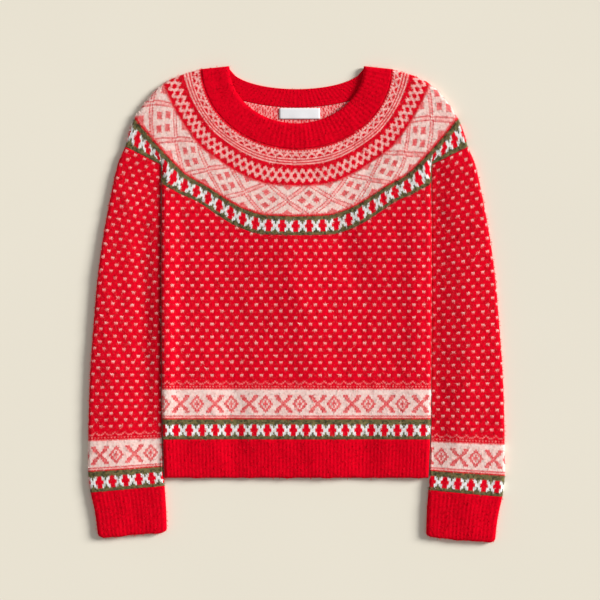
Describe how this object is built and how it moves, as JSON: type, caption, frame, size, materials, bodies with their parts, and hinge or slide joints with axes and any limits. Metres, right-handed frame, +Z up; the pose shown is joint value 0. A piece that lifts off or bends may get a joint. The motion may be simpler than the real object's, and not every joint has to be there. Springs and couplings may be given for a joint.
{
  "type": "fair isle jumper",
  "caption": "Child's knitted jumper with a round patterned yoke, ribbed neck, cuffs and hem, laid flat with its sleeves beside the body.",
  "frame": {"origin": "middle of the bounding box's base, on the surface the jumper lies on", "axes": "+Y from hem to neck, +X across to the right sleeve as seen from above, +Z up from the surface"},
  "size_m": [0.52, 0.595, 0.011],
  "materials": {
    "rib_knit": "soft brushed wool in one by one rib",
    "patterned_knit": "soft brushed wool in stranded colourwork",
    "woven_label": "plain white satin weave"
  },
  "bodies": {
    "root": {"neckband": "rib_knit", "yoke": "patterned_knit", "body_front": "patterned_knit", "body_back": "patterned_knit", "hem_front": "rib_knit", "hem_back": "rib_knit", "sleeve_left": "patterned_knit", "cuff_left": "rib_knit", "sleeve_right": "patterned_knit", "cuff_right": "rib_knit", "label": "woven_label"}
  },
  "joints": []
}
